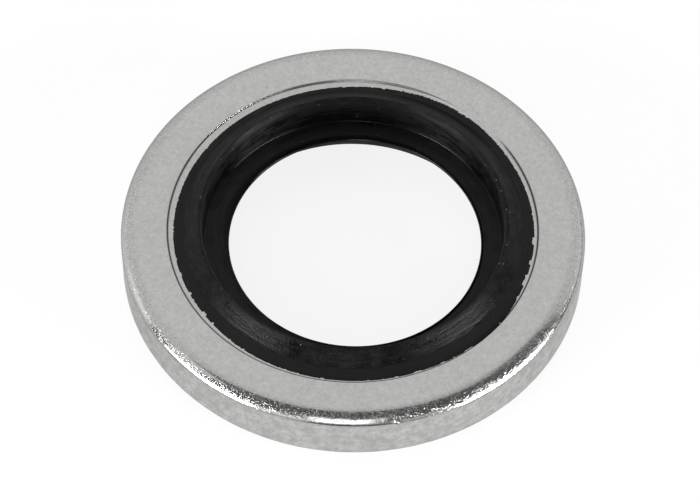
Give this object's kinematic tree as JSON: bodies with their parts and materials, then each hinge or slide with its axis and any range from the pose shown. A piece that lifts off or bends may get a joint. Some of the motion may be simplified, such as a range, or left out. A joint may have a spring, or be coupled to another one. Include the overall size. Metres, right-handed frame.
{
  "type": "bonded sealing washer",
  "caption": "Self-centring bonded sealing washer: a flat zinc-plated steel ring with a proud black rubber lip and a thin centring web moulded in its bore.",
  "frame": {"origin": "on the axis of the washer, in the plane of the lower lip's crest, which is what it rests on", "axes": "+Z along the axis, out of the face with the rolled outer edge; X and Y across the ring, which is round"},
  "size_m": [0.0158, 0.0158, 0.0027],
  "materials": {
    "zinc_plated_steel": "matt zinc plate over tumbled blanked steel",
    "nitrile_rubber": "smooth moulded nitrile with a satin sheen"
  },
  "bodies": {
    "root": {"steel_ring": "zinc_plated_steel", "rubber_seal": "nitrile_rubber"}
  },
  "joints": []
}
